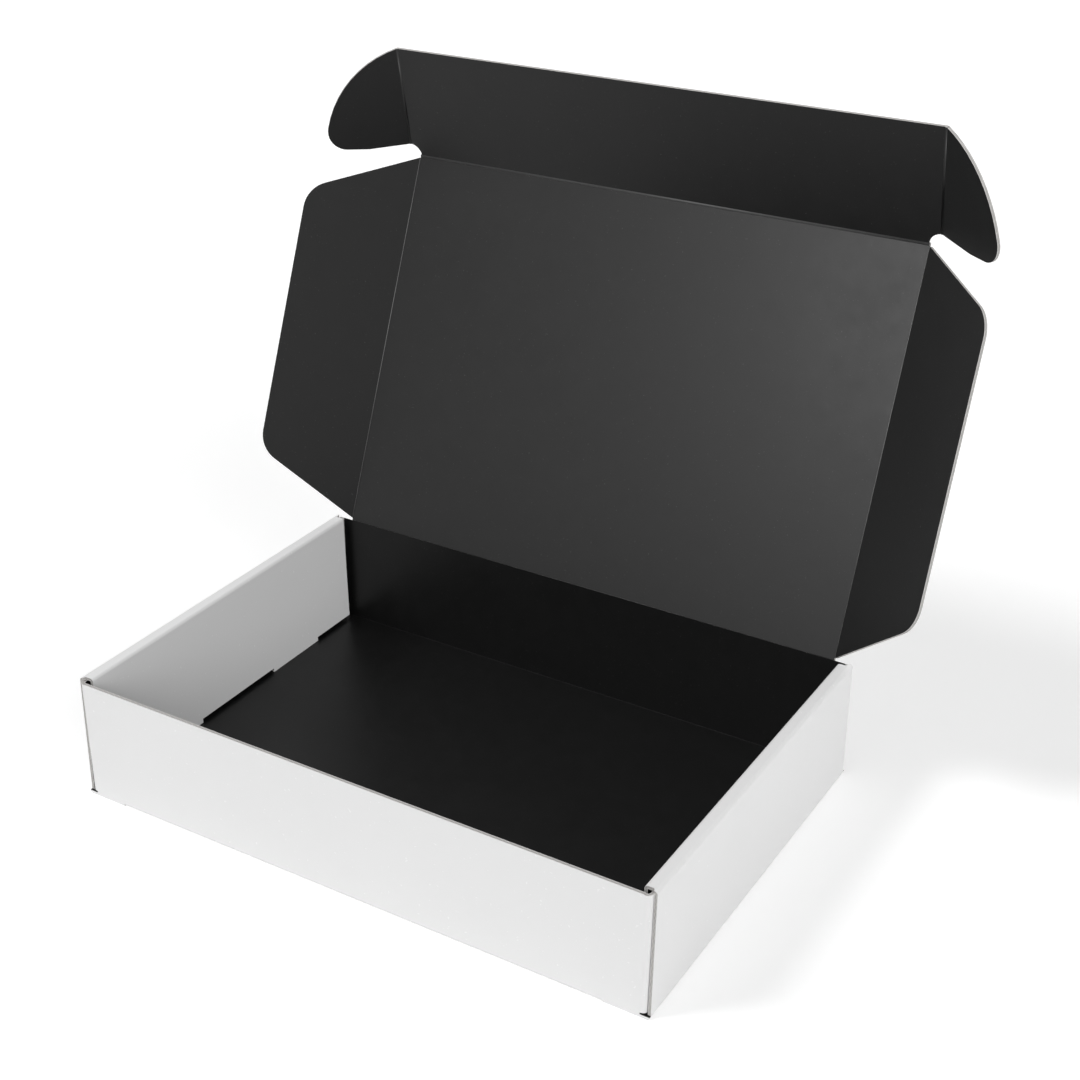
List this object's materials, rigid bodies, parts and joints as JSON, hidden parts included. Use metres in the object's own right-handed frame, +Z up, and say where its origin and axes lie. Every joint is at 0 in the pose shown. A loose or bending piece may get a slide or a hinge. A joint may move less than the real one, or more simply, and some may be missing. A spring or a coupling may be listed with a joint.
{
  "type": "corrugated mailer box",
  "caption": "Shallow roll-end mailer box in thin corrugated board, white outside and black inside, with a hinged lid, side flaps, and a tuck flap with ears.",
  "frame": {"origin": "centre of the flat underside, between the side walls and between the front and back walls", "axes": "+X across the box towards the side wall that is on the right when looking at the front wall, -Y out of the front wall, +Y towards the lid's crease, +Z up"},
  "size_m": [0.369, 0.276, 0.3022],
  "materials": {
    "board": "satin"
  },
  "bodies": {
    "tray": {"tray": "board"},
    "lid": {"lid": "board"},
    "lid_flap_left": {"lid_flap_left": "board"},
    "lid_flap_right": {"lid_flap_right": "board"},
    "tuck_flap": {"tuck_flap": "board"},
    "tuck_ear_left": {"tuck_ear_left": "board"},
    "tuck_ear_right": {"tuck_ear_right": "board"}
  },
  "joints": [
    {"name": "lid_crease", "type": "hinge", "parent": "tray", "child": "lid", "pos_m": [0, 0.0995, 0.0615], "axis": [-1, 0, 0], "range_deg": [-111.3, 37.8]},
    {"name": "side_flap_left_crease", "type": "hinge", "parent": "lid", "child": "lid_flap_left", "pos_m": [-0.14041, 0.0995, 0.0615], "axis": [0, -0.3746, -0.9272], "range_deg": [-114.8, 39]},
    {"name": "side_flap_right_crease", "type": "hinge", "parent": "lid", "child": "lid_flap_right", "pos_m": [0.14041, 0.0995, 0.0615], "axis": [0, 0.3746, 0.9272], "range_deg": [-114.8, 39]},
    {"name": "tuck_crease", "type": "hinge", "parent": "lid", "child": "tuck_flap", "pos_m": [0, 0.17429, 0.24462], "axis": [-1, 0, 0], "range_deg": [-57.2, 33.5]},
    {"name": "ear_left_crease", "type": "hinge", "parent": "tuck_flap", "child": "tuck_ear_left", "pos_m": [-0.14588, 0.17429, 0.24462], "axis": [0, 0.1994, -0.9799], "range_deg": [-53.6, 31.5]},
    {"name": "ear_right_crease", "type": "hinge", "parent": "tuck_flap", "child": "tuck_ear_right", "pos_m": [0.14588, 0.17429, 0.24462], "axis": [0, -0.1994, 0.9799], "range_deg": [-53.6, 31.5]}
  ],
  "couplings": [
    {"joint": "side_flap_left_crease", "follows": "lid_crease", "ratio": 1.03},
    {"joint": "side_flap_right_crease", "follows": "lid_crease", "ratio": 1.03},
    {"joint": "ear_left_crease", "follows": "tuck_crease", "ratio": 0.9352},
    {"joint": "ear_right_crease", "follows": "tuck_crease", "ratio": 0.9352}
  ]
}
